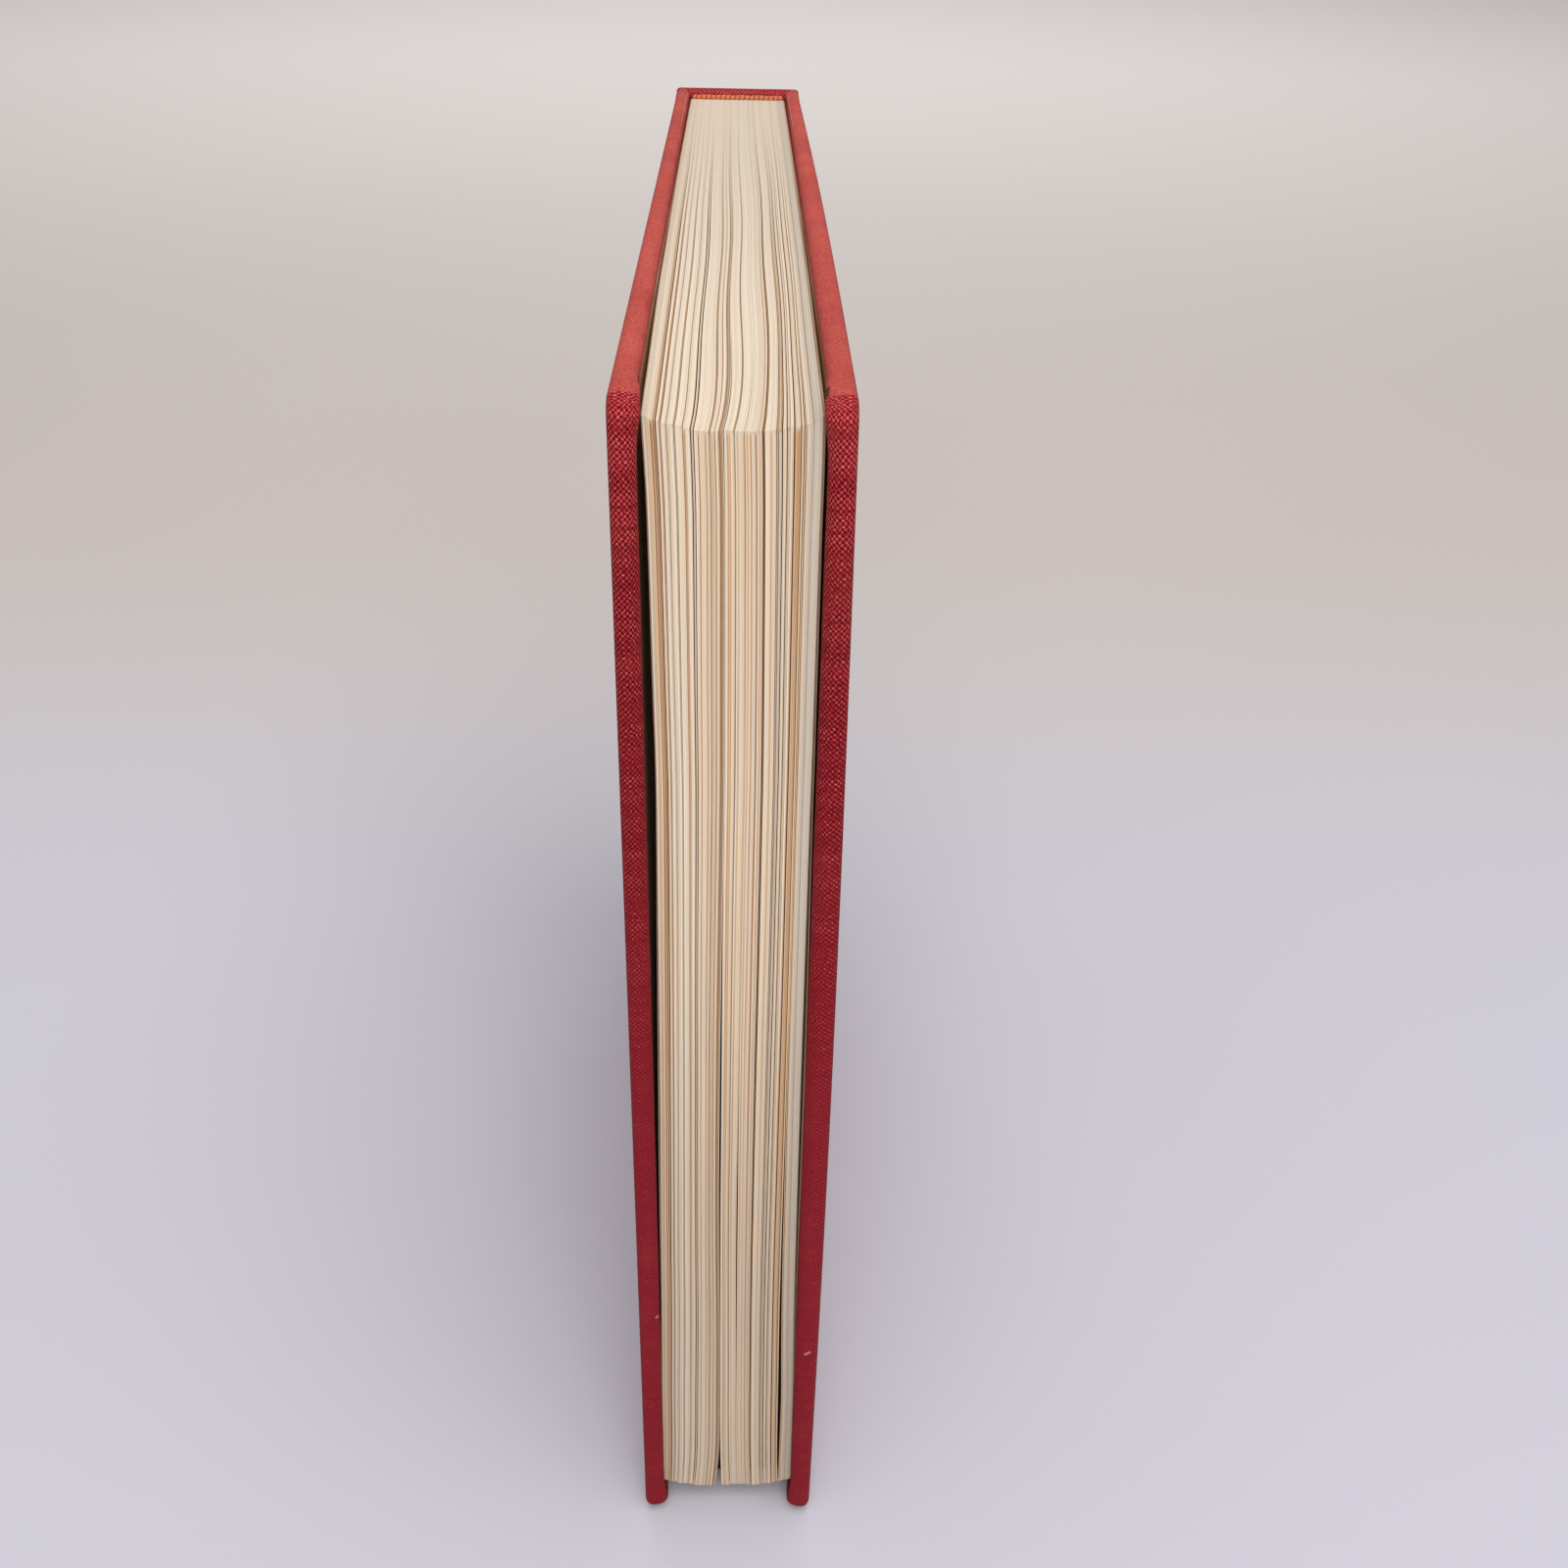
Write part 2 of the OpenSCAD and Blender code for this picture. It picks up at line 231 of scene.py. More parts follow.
# The core is marked for a dark brown colour: painted shade deep in the block
gap_shade += [2.0] * len(core_faces)
loops = [k for face in faces for k in face]
leaves = piece("leaves", points, faces, uv[loops], "leaf")
for name, values in (("tone", tone), ("grey", grey), ("gap_shade", gap_shade)):
    leaves.data.attributes.new(name, "FLOAT", "FACE").data.foreach_set("value", np.array(values, np.float32))
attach(leaves, "root")
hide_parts("text_block")


class Field:
    """One shader socket; arithmetic on it adds Math nodes to its material."""

    def __init__(self, tree, socket=None):
        self.tree = tree
        self.socket = socket

    def node(self, kind, settings, inputs, out=0):
        made = self.tree.nodes.new("ShaderNode" + kind)
        for name, value in settings.items():
            setattr(made, name, value)
        for key, value in inputs.items():
            if isinstance(value, Field):
                self.tree.links.new(value.socket, made.inputs[key])
            else:
                made.inputs[key].default_value = value
        return Field(self.tree, made.outputs[out])

    def math(self, operation, *values):
        return self.node("Math", {"operation": operation}, dict(enumerate(values)))

    def __add__(self, other):
        return self.math("ADD", self, other)

    def __sub__(self, other):
        return self.math("SUBTRACT", self, other)

    def __rsub__(self, other):
        return self.math("SUBTRACT", other, self)

    def __mul__(self, other):
        return self.math("MULTIPLY", self, other)

    def __truediv__(self, other):
        return self.math("DIVIDE", self, other)

    def __pow__(self, other):
        return self.math("POWER", self, other)

    def __abs__(self):
        return self.math("ABSOLUTE", self)

    __radd__ = __add__
    __rmul__ = __mul__

    def least(self, other):
        return self.math("MINIMUM", self, other)

    def most(self, other):
        return self.math("MAXIMUM", self, other)

    def wave(self):
        return self.math("SINE", self)

    def floor(self):
        return self.math("FLOOR", self)

    def step(self, start, end):
        return self.node("MapRange", {"interpolation_type": "SMOOTHSTEP"}, {0: self, 1: start, 2: end})

    def mix(self, a, b):
        return self.node("Mix", {"data_type": "RGBA"}, {0: self, 6: a, 7: b}, 2)

    def ramp(self, *stops):
        made = self.node("ValToRGB", {}, {0: self})
        elements = made.socket.node.color_ramp.elements
        while len(elements) < len(stops):
            elements.new(0.5)
        for element, (place, colour) in zip(elements, stops):
            element.position = place
            element.color = colour
        return made

    def parts(self):
        split = self.node("SeparateXYZ", {}, {0: self}).socket.node
        return [Field(self.tree, output) for output in split.outputs]

    def noise(self, x, y, z=0.0, detail=2.0):
        at = self.node("CombineXYZ", {}, {0: x, 1: y, 2: z})
        return self.node("TexNoise", {}, {"Vector": at, "Scale": 1.0, "Detail": detail})


def tint(red, green, blue):
    """The linear colour of a screen colour given from 0 to 255."""
    shares = (red / 255, green / 255, blue / 255)
    linear = [c / 12.92 if c <= 0.04045 else ((c + 0.055) / 1.055) ** 2.4 for c in shares]
    return (*linear, 1.0)


def finish(name, rough):
    made = bpy.data.materials.new(name)
    made.use_nodes = True
    shader = made.node_tree.nodes["Principled BSDF"]
    shader.inputs["Roughness"].default_value = rough
    shader.inputs["Specular IOR Level"].default_value = 0.25
    return made, shader, Field(made.node_tree)


def set_socket(shader, name, field):
    field.tree.links.new(field.socket, shader.inputs[name])


page_stops = (
    (0.0, tint(244, 231, 211)), (0.3, tint(232, 207, 172)), (0.55, tint(213, 167, 117)),
    (0.78, tint(187, 126, 72)), (1.0, tint(142, 84, 42)),
)
page_edge, shader, field = finish("page_edge", 0.9)
across, length, _ = field.node("UVMap", {"uv_map": "leaf"}, {}).parts()
leaf_tone = field.node("Attribute", {"attribute_name": "tone"}, {}, 2)
leaf_grey = field.node("Attribute", {"attribute_name": "grey"}, {}, 2)
leaf_gap_shade = field.node("Attribute", {"attribute_name": "gap_shade"}, {}, 2)
fore_face = length.step(text_d - 0.2, text_d + 0.8)
slow = field.noise(across * 1.7, length / 55)
fine = field.noise(across * 7, length / 16)
hair = field.noise(across * 40, length / 30, 5.0)
near_head = length.step(text_d * 0.1, text_d * 0.9)
_, _, up = field.node("TexCoord", {}, {}, 3).parts()
washed = 1 - 0.35 * (up / mm).step(110, 25)
level = leaf_tone * (0.14 + 0.16 * near_head + 0.58 * fore_face * washed)
level = level + (slow - 0.5) * (0.15 + 0.5 * fore_face)
# Sides and the edges beside wider gaps are browned here: painted shade between the leaves
level = level + leaf_gap_shade.least(1.0) * (0.1 + 0.45 * near_head - 0.4 * fore_face)
level = level + (fine - 0.5) * (0.14 + 0.14 * fore_face) + (hair - 0.5) * (0.06 + 0.1 * fore_face) - 0.03
paper = level.ramp(*page_stops)
dull = field.noise(across * 0.6, length / 25, 9.0)
paper = (leaf_grey * 0.65 + (dull - 0.6) * 0.5 * fore_face).mix(paper, tint(205, 196, 180))
# The paper is mixed toward a dark brown: most at the head by the spine, less over the rest of the head, least
# at the top of the fore edge, and more again toward the tail
darker_share = 0.44 - 0.2 * near_head - 0.18 * fore_face + 0.25 * fore_face * (up / mm).step(150, 40)
paper = darker_share.mix(paper, tint(128, 100, 78))
# The core is painted dark brown as painted shade; the leaves take the paper colour
set_socket(shader, "Base Color", (leaf_gap_shade - 1.0).most(0.0).mix(paper, tint(44, 34, 26)))
bump = field.node("Bump", {}, {"Height": hair + fine, "Strength": 0.3, "Distance": 0.04 * mm})
set_socket(shader, "Normal", bump)
leaves.data.materials.append(page_edge)

# Lining: open cotton mull and a strip of paper glued over the sewn back of the leaves.
# It is the part made in the frame, and only its finish is added.
mull_pitch = 0.9
mull, shader, field = finish("mull", 0.95)
x, y, z = field.node("TexCoord", {}, {}, 3).parts()
warp = (x / (mull_pitch * mm) * math.pi).wave()
weft = (z / (mull_pitch * mm) * math.pi).wave()
thread = abs(warp).most(abs(weft))
glue = field.noise(x / (6 * mm), z / (6 * mm))
gauze = (thread * 0.7 + glue * 0.5 - 0.2).ramp(
    (0.0, tint(150, 122, 84)), (0.6, tint(206, 192, 164)), (1.0, tint(228, 220, 200)))
set_socket(shader, "Base Color", gauze)
bump = field.node("Bump", {}, {"Height": thread, "Strength": 0.6, "Distance": 0.2 * mm})
set_socket(shader, "Normal", bump)
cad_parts["spine_lining"].data.materials.clear()
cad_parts["spine_lining"].data.materials.append(mull)

# Bands: striped cotton wound over a cord and sewn to a ribbon, glued to the back at head and tail.
# The winding alternates salmon and straw, and each turn stands a little proud of the next.
band_pitch, cord_r, cord_sunk = 1.0, 0.62, 0.75
striped, shader, field = finish("band_thread", 0.8)
along, around, _ = field.node("UVMap", {"uv_map": "weave"}, {}).parts()
turn = along / band_pitch + around * 0.1
strand = field.noise(along * 9, around * 2)
stripe = ((turn * 2 * math.pi).wave() * 2.5 + strand - 0.5).step(-0.6, 0.6)
ply = (along * 40 + around * 3).wave()
thread = stripe.mix(tint(206, 86, 54), tint(236, 168, 118))
thread = (strand * 0.6 + ply * 0.12).step(0.05, 0.6).mix(tint(178, 84, 54), thread)
set_socket(shader, "Base Color", thread)
bump = field.node("Bump", {}, {"Height": ply + strand, "Strength": 0.5, "Distance": 0.08 * mm})
set_socket(shader, "Normal", bump)
for name, top in (("head_band", True), ("tail_band", False)):
    low, high = box_mm(name)
    middle_y = high[1] - cord_r
    middle_z = high[2] - cord_r - cord_sunk if top else low[2] + cord_r + cord_sunk
    station = np.arange(low[0], high[0] + 0.05, 0.1)
    turns = np.linspace(0, 2 * np.pi, 17)[:-1]
    turn_step = 0.4
    points, faces, uv = [], [], []
    for x in station:
        end = min(1, math.sqrt(max(0.02, min(x - low[0], high[0] - x + 0.01) / 0.5)))
        for angle in turns:
            proud = abs(math.sin(math.pi * (x / band_pitch + angle * 0.08)))
            r = cord_r * (0.9 + 0.1 * proud ** 0.5) * end
            sway = 0.05 * math.sin(x * 1.7)
            points.append((x, middle_y + r * math.cos(angle), middle_z + r * math.sin(angle) * 0.97 + sway))
    ring = len(turns)
    for k in range(len(station) - 1):
        for a in range(ring):
            b = (a + 1) % ring
            faces.append((k * ring + a, k * ring + b, (k + 1) * ring + b, (k + 1) * ring + a))
            near, far, turned = station[k], station[k + 1], turns[a] + turn_step
            uv += [(near, turns[a]), (near, turned), (far, turned), (far, turns[a])]
    faces += [tuple(range(ring))[::-1], tuple((len(station) - 1) * ring + a for a in range(ring))]
    uv += [(low[0], 0)] * ring + [(high[0], 0)] * ring
    # The ribbon below the cord, with a cut edge that is not quite straight
    base = len(points)
    cut = low[2] if top else high[2]
    columns = np.linspace(low[0], high[0], 40)
    for y in (high[1] - 0.28, high[1] - 0.02):
        for x in columns:
            points.append((x, y, middle_z))
            points.append((x, y, cut + (0.3 if top else -0.3) * (1 + math.sin(x * 2.3) * 0.5)))
    per = len(columns)

    def at(skin, k, edge):
        return base + (skin * per + k) * 2 + edge

    ribbon = []
    for k in range(per - 1):
        ribbon += [
            (at(0, k, 0), at(0, k, 1), at(0, k + 1, 1), at(0, k + 1, 0)),
            (at(1, k, 0), at(1, k + 1, 0), at(1, k + 1, 1), at(1, k, 1)),
            (at(0, k, 0), at(0, k + 1, 0), at(1, k + 1, 0), at(1, k, 0)),
            (at(0, k, 1), at(1, k, 1), at(1, k + 1, 1), at(0, k + 1, 1)),
        ]
    for k in (0, per - 1):
        ribbon.append((at(0, k, 0), at(1, k, 0), at(1, k, 1), at(0, k, 1)))
    faces += ribbon
    uv += [(points[k][0], points[k][2]) for face in ribbon for k in face]
    band = piece(name + "_cord", points, faces, uv)
    band.data.materials.append(striped)
    band.data.shade_smooth()
    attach(band, "root")
    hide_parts(name)

# Endpapers: stout cream paper, one leaf pasted inside each cover and one free leaf on the block.
# The free leaves have cockled a little and stand off the block in the middle of their height.
# The turned-in cloth has stained a brown frame into the paper.
endpaper, shader, field = finish("endpaper", 0.88)
x, y, z = field.node("TexCoord", {}, {}, 3).parts()
cloud = field.noise(y / (30 * mm), z / (30 * mm), 0.0, 4.0)
fibre = field.noise(y / (0.4 * mm), z / (1.6 * mm), 3.0, 3.0)
half_h, fore_d = text_h / 2, -text_fore
from_middle = abs(z / mm - (head_z + tail_z) / 2)
to_fore = 0 - y / mm
edge = from_middle.step(half_h - 14, half_h + 2)
fore = to_fore.step(fore_d - 16, fore_d + 1)
fox = field.noise(y / (2.2 * mm), z / (2.2 * mm), 8.0, 1.0).step(0.74, 0.82)
aged = (cloud - 0.5) * 0.5 + (fibre - 0.5) * 0.16 + edge.most(fore) * 0.3 + fox * 0.25 + 0.12
turned_in = from_middle.step(half_h - 21, half_h - 10)
turned_in = to_fore.step(fore_d - 23, fore_d - 10).most(turned_in)
dyed = turned_in * (0.22 + 0.26 * cloud) + to_fore.step(fore_d - 12, fore_d) * 0.2
set_socket(shader, "Base Color", dyed.mix(aged.ramp(*page_stops), tint(122, 60, 46)))
bump = field.node("Bump", {}, {"Height": fibre, "Strength": 0.35, "Distance": 0.08 * mm})
set_socket(shader, "Normal", bump)
for name in ("front_pastedown", "back_pastedown"):
    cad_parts[name].data.materials.clear()
    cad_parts[name].data.materials.append(endpaper)
for name, side, stand in (("front_flyleaf", -1, 0.08), ("back_flyleaf", 1, 0.3)):
    ny, nz = 40, 46
    share_y = np.linspace(0, 1, ny)
    share_z = np.linspace(0, 1, nz)
    grid_d, grid_h = np.meshgrid(share_y, share_z, indexing="ij")
    off = stand * np.sin(np.pi * grid_h) ** 2 * grid_d ** 2 + 0.03
    ripple = 0.05 * np.sin(grid_h * 11 + grid_d * 3) * grid_d
    skins = []
    for thick in (0, leaf_t):
        x = side * (np.abs(leaf_x(side * 1.0, grid_d, grid_h)) + off + ripple * (off > 0.06) + thick)
        y = text_back - grid_d * (text_d - 0.1)
        z = tail_z + grid_h * text_h - sag_side * grid_d
        skins.append(np.stack([x, y, z], -1).reshape(-1, 3))
    points = np.concatenate(skins)
    count = ny * nz
    faces = []
    for i in range(ny - 1):
        for j in range(nz - 1):
            a = i * nz + j
            quad = (a, a + 1, a + nz + 1, a + nz)
            faces.append(quad)
            faces.append(tuple(k + count for k in quad[::-1]))
    rim = [i * nz for i in range(ny)] + [(ny - 1) * nz + j for j in range(1, nz)]
    rim += [i * nz + nz - 1 for i in range(ny - 2, -1, -1)] + [j for j in range(nz - 2, 0, -1)]
    for a, b in zip(rim, rim[1:] + rim[:1]):
        faces.append((a, b, b + count, a + count))
    leaf = piece(name + "_sheet", points, faces)
    leaf.data.materials.append(endpaper)
    leaf.data.shade_smooth()
    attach(leaf, "root")
    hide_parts(name)
    text_d * mm
    text_h * mm

# Boards: grey pulp board for the covers and a thinner strip for the spine, hidden under the cloth.
# They are the parts made in the frame, and only their finish is added.
pulp, shader, field = finish("grey_board", 0.95)
x, y, z = field.node("TexCoord", {}, {}, 3).parts()
fleck = field.noise(y / (0.5 * mm) + x / (0.3 * mm), z / (0.9 * mm), 2.0, 4.0)
cloud = field.noise(y / (14 * mm), z / (14 * mm))
board = (fleck * 0.8 + cloud * 0.4 - 0.1).ramp(
    (0.2, tint(112, 100, 84)), (0.5, tint(156, 143, 122)), (0.85, tint(188, 178, 158)))
set_socket(shader, "Base Color", board)
bump = field.node("Bump", {}, {"Height": fleck, "Strength": 0.6, "Distance": 0.1 * mm})
set_socket(shader, "Normal", bump)
for name in ("front_board", "back_board", "spine_strip"):
    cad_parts[name].data.materials.clear()
    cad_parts[name].data.materials.append(pulp)

# Book cloth: coarse red cotton in plain weave, sized, drawn tight over the boards and glued down.
# Light has faded it along the head, and handling has worn its folds and corners.
warp_pitch, weft_pitch = 0.35, 0.4
cloth_t = 0.42
turn_in = 15
cloth_low, cloth_high = box_mm("front_cloth")
book_h = cloth_high[2]
spine_low, spine_high = box_mm("spine_cloth")
cloth, shader, field = finish("book_cloth", 0.86)
shader.inputs["Specular IOR Level"].default_value = 0.12
shader.inputs["Sheen Weight"].default_value = 0.05
shader.inputs["Sheen Roughness"].default_value = 0.5
shader.inputs["Sheen Tint"].default_value = tint(230, 150, 140)
u, v, _ = field.node("UVMap", {"uv_map": "weave"}, {}).parts()
place = field.node("TexCoord", {}, {}, 3)
x, y, z = place.parts()
wander_u = field.noise(u / 9, v / 1.3, 1.0) - 0.5
wander_v = field.noise(u / 1.3, v / 9, 4.0) - 0.5
stray = field.noise(u / 0.8, v / 0.8, 7.0) - 0.5
warp = u / warp_pitch + wander_u * 0.9 + stray * 1.7
weft = v / weft_pitch + wander_v * 0.9 - stray * 1.4
warp_wave, weft_wave = (warp * math.pi).wave(), (weft * math.pi).wave()
crossing = field.node("CombineXYZ", {}, {0: warp.floor(), 1: weft.floor()})
loose = field.node("TexWhiteNoise", {"noise_dimensions": "2D"}, {"Vector": crossing})
# The weave's colour holds painted shade and painted highlights: sunken warp crossings are painted darker as
# shade, and the tops of the weft get small painted highlights. The same pattern also drives the bump.
checker = warp_wave * weft_wave
crown = (abs(warp_wave) ** 0.4 * abs(weft_wave) ** 1.5).step(0.1, 0.6)
warp_pit_shade = checker.step(0.0, 0.15) * crown * (0.5 + 0.5 * loose)
bead_highlight = (0 - checker).step(0.3, 0.95) * (0.35 + 0.65 * loose)
thread = 0.55 - warp_pit_shade * 0.6 + bead_highlight * 0.55
warp_slub = field.node("TexWhiteNoise", {"noise_dimensions": "1D"}, {"W": warp.floor()})
weft_slub = field.node("TexWhiteNoise", {"noise_dimensions": "1D"}, {"W": weft.floor() + 77.0})
slub = warp_slub * warp_pit_shade + weft_slub * (1 - warp_pit_shade)
fuzz = field.noise(u / 0.11, v / 0.11, 2.0, 2.0)
blotch = field.noise(y / (9 * mm), z / (9 * mm), x / (9 * mm), 3.0)
height_mm, back_mm = z / mm, y / mm
felt = field.noise(x / (0.42 * mm), y / (0.42 * mm), z / (0.42 * mm), 3.0)
low_down = height_mm.step(185, 75) * back_mm.step(-90, -93.5)
faded = height_mm + (blotch - 0.5) * 1.2 + (felt - 0.5) * 1.4 - back_mm.step(-92.9, -94.3) * 1.35
faded = faded.step(book_h - 1.5, book_h - 0.4) * back_mm.step(93.7, 92.9)
worn = (blotch * 1.2 + fuzz * 0.5 - 0.85).step(0.0, 0.35) * 0.5
open_weave = thread * (0.86 + 0.28 * slub) + (fuzz - 0.5) * 0.4 + height_mm.step(183, 206) * 0.12
open_weave = open_weave + (0.42 - open_weave) * low_down * 0.45
# Its darkest stops are the painted shade in the pits and its lightest the painted highlights on the weft
red = open_weave.ramp(
    (0.0, tint(64, 0, 2)), (0.3, tint(101, 1, 11)), (0.55, tint(135, 21, 31)),
    (0.8, tint(172, 54, 58)), (1.0, tint(216, 104, 98)))
rubbed = (open_weave * 0.08 + fuzz * 0.4 + felt * 0.6 + blotch * 0.25 - 0.27).ramp(
    (0.15, tint(128, 36, 32)), (0.5, tint(188, 81, 70)), (0.9, tint(220, 130, 114)))
red = (faded * 0.9 + worn * 0.25).mix(red, rubbed)


def mark(start, end, width):
    """A line on the cloth, in millimetres: 1 along it and 0 a width away."""
    run = np.subtract(end, start) + 0.001
    first, per_run = np.multiply(start, mm).tolist(), (run / (run @ run) / mm).tolist()
    apart = field.node("VectorMath", {"operation": "SUBTRACT"}, {0: place, 1: first})
    share = field.node("VectorMath", {"operation": "DOT_PRODUCT"}, {0: apart, 1: per_run}, 1)
    share = share.most(0.0).least(1.0)
    nearest = field.node("VectorMath", {"operation": "SCALE"}, {0: (run * mm).tolist(), 3: share})
    off = field.node("VectorMath", {"operation": "DISTANCE"}, {0: apart, 1: nearest}, 1)
    return off.step(width * mm, 0.3 * width * mm)


bare = 0.0
for side_x in (spine_low[0], spine_high[0]):
    for level in (0, book_h):
        corner = (side_x, spine_high[1], level)
        bare = mark(corner, corner, 1.3).most(bare)
bare = bare * (fuzz + felt).step(0.7, 1.2)
frayed = mark((-11.1, -86.3, 207.2), (-10.9, -88.5, 207.0), 0.4) * (felt + 0.5).least(1.0)
frayed = frayed.most(mark((11.15, -90.4, 207.2), (11.1, -91.3, 207.1), 0.55))
frayed = frayed.most(mark((11.2, -92.0, 207.0), (11.2, -92.8, 206.9), 0.7))
frayed = frayed.most(mark((10.7, -53.6, 207.8), (11.1, -72.9, 207.8), 0.16) * 0.7)
pale = mark((12.9, -95.9, 43.3), (13.6, -95.9, 43.8), 0.36)
pale = pale.most(mark((-11.6, -95.0, 51.4), (-11.6, -95.0, 51.4), 0.5))
red = (low_down * 0.35).mix(red, tint(142, 32, 46))
red = (bare * 0.8).mix(red, tint(132, 98, 82))
red = frayed.mix(red, tint(26, 2, 1))
red = (pale * 0.55).mix(red, tint(228, 168, 156))
set_socket(shader, "Base Color", red)
relief = thread * (1 - faded.most(low_down * 0.6) * 0.8) + fuzz * 0.25 + felt * faded * 0.6 - frayed * 1.5
bump = field.node("Bump", {}, {"Height": relief, "Strength": 0.75, "Distance": 0.14 * mm})
set_socket(shader, "Normal", bump)
fold_n, fold_power = 8, 2.15
edge_lines, face_step = (1.9, 2.3, 2.7, 3.5, 4.3, 5.5, 7.5, 10, 12.5, turn_in), 6


def lines(size, round_r, corner_r, both):
    """Places of the mesh lines across a plate, close together at its folds and wide apart on its face."""
    near = list(round_r * (1 - np.cos(np.linspace(0, np.pi / 2, fold_n))))
    near += sorted(d for d in (corner_r, *edge_lines) if round_r + 0.05 < d < size / 2)
    if both:
        count = max(2, int((size - 2 * near[-1]) / face_step))
        middle = np.linspace(near[-1], size - near[-1], count + 1)[1:-1]
        return np.array(near + list(middle) + [size - d for d in near[::-1]])
    count = max(2, int((size - near[-1]) / face_step))
    return np.array(near + list(np.linspace(near[-1], size, count + 1)[1:]))


def fold_rise(inset, round_r):
    """Share of a plate's half thickness that its rounded edge reaches at a distance from the edge."""
    left = np.maximum(round_r - inset, 0) / round_r
    return np.clip(1 - left ** fold_power, 0, 1) ** (1 / fold_power)


def wrapped(length, tall, thick, round_r, corner_r, swell, bow, both=False, edge_fold=True):
    """Points, faces and loop UVs of cloth drawn over a plate, with its inner side open inside the turn-ins.

    The outer face is at x = 0, the hinge end at y = 0, and the free edge at y = -length.
    """
    ds, zs = lines(length, round_r, corner_r, both), lines(tall, round_r, corner_r, True)
    along, up = np.meshgrid(ds, zs, indexing="ij")
    d_y = np.minimum(along, length - along) if both else along
    d_z = np.minimum(up, tall - up)
    a, b = np.maximum(corner_r - d_y, 0), np.maximum(corner_r - d_z, 0)
    turn = np.where((a > 0) & (b > 0), np.maximum(a, b) / np.maximum(np.hypot(a, b), 1e-9), 1)
    y_in, z_in = np.where(a > 0, corner_r - a * turn, d_y), np.where(b > 0, corner_r - b * turn, d_z)
    y = np.where(both & (along > length / 2), -y_in, y_in - length)
    z = np.where(up > tall / 2, tall - z_in, z_in)
    inset = np.minimum(d_y, d_z)
    rise = fold_rise(inset, round_r)
    outer = thick / 2 * (1 - rise) - bow(along, up, inset) * rise
    inner = thick / 2 + (thick / 2 + swell(along, up, inset)) * rise
    rows, cols = along.shape
    points = np.concatenate([np.stack([side, y, z], -1).reshape(-1, 3) for side in (outer, inner)])
    count = rows * cols
    twin = np.arange(2 * count)
    flat = inset.ravel() < 1e-9
    twin[count:][flat] = np.arange(count)[flat]
    arc = round_r * np.arcsin(np.clip(np.maximum(round_r - inset, 0) / round_r, 0, 1))
    fold = np.pi / 2 * round_r
    drawn = 1 + 0.7 * swell(along, up, inset * 0)
    faces, uv = [], []
    for side in (0, 1):
        for i in range(rows - 1):
            for j in range(cols - 1):
                cell = [(i, j), (i, j + 1), (i + 1, j + 1), (i + 1, j)]
                mid_y = np.mean([d_y[c] for c in cell])
                mid_z = np.mean([d_z[c] for c in cell])
                near = min(mid_y, mid_z) if edge_fold else mid_z
                if side and near > turn_in:
                    continue
                if side:
                    cell = cell[::-1]
                face = [int(twin[side * count + p * cols + q]) for p, q in cell]
                coords = []
                for p, q in cell:
                    past_y, past_z = 0, 0
                    bent = arc[p, q]
                    if side:
                        bent = fold + (fold - bent) * drawn[p, q] + max(inset[p, q] - round_r, 0)
                    past = inset[p, q] - round_r + bent if side or inset[p, q] < round_r else 0
                    if mid_y < mid_z:
                        past_y = past
                    else:
                        past_z = past
                    sign = 1 if up[p, q] > tall / 2 else -1
                    coords.append((along[p, q] - length - past_y, up[p, q] + sign * past_z))
                faces.append(tuple(face))
                uv += coords
    used = sorted({k for face in faces for k in face})
    index = {k: n for n, k in enumerate(used)}
    return thickened(points[used], [tuple(index[k] for k in face) for face in faces], uv, cloth_t)


def thickened(points, faces, uv, thick):
    """The same cloth with its own thickness, added on the side away from the face normals."""
    normals = np.zeros_like(points)
    for face in faces:
        ring = points[list(face)]
        normal = np.cross(ring[2] - ring[0], ring[3] - ring[1])
        for k in face:
            normals[k] += normal
    normals /= np.maximum(np.linalg.norm(normals, axis=1, keepdims=True), 1e-12)
    count = len(points)
    edges = {}
    corner = 0
    for face in faces:
        for n, k in enumerate(face):
            after = (n + 1) % len(face)
            edges[(k, face[after])] = (uv[corner + n], uv[corner + after])
        corner += len(face)
    both_faces, both_uv = list(faces), list(uv)
    corner = 0
    for face in faces:
        both_faces.append(tuple(k + count for k in face[::-1]))
        both_uv += uv[corner:corner + len(face)][::-1]
        corner += len(face)
    for (a, b), (uv_a, uv_b) in edges.items():
        if (b, a) not in edges:
            both_faces.append((b, a, a + count, b + count))
            both_uv += [uv_b, uv_a, uv_a, uv_b]
    return np.concatenate([points, points - normals * thick]), both_faces, both_uv


joint_clear = 0.3
cover_t = 2.84
round_r, corner_r = 1.55, 3.2
rim_in, rim_swell = 0.12, 0.72
tuck_swell, tuck_d, tuck_h = 0.55, 11, 6.5
widest_in = 1
joint_y, back_y, half_out = spine_low[1], spine_high[1], spine_high[0]
hinge_y = joint_y - joint_clear / 2
cover_reach = joint_y - joint_clear - cloth_low[1]
splay = math.asin((-cloth_low[0] - half_out) / (cover_reach + joint_clear / 2 - widest_in))
cover_len = cover_reach / math.cos(splay)


def on_cover(points, side):
    """Points of a cover at their place in the closed book; side is -1 for the front and 1 for the back."""
    x, y, z = np.asarray(points).T
    y = y - joint_clear / 2
    out = half_out - (x * math.cos(splay) + y * math.sin(splay))
    return np.stack([side * out, hinge_y - x * math.sin(splay) + y * math.cos(splay), z], 1)


def near_rim(inset):
    return 1 - ease(inset, 1.6, 3.0)


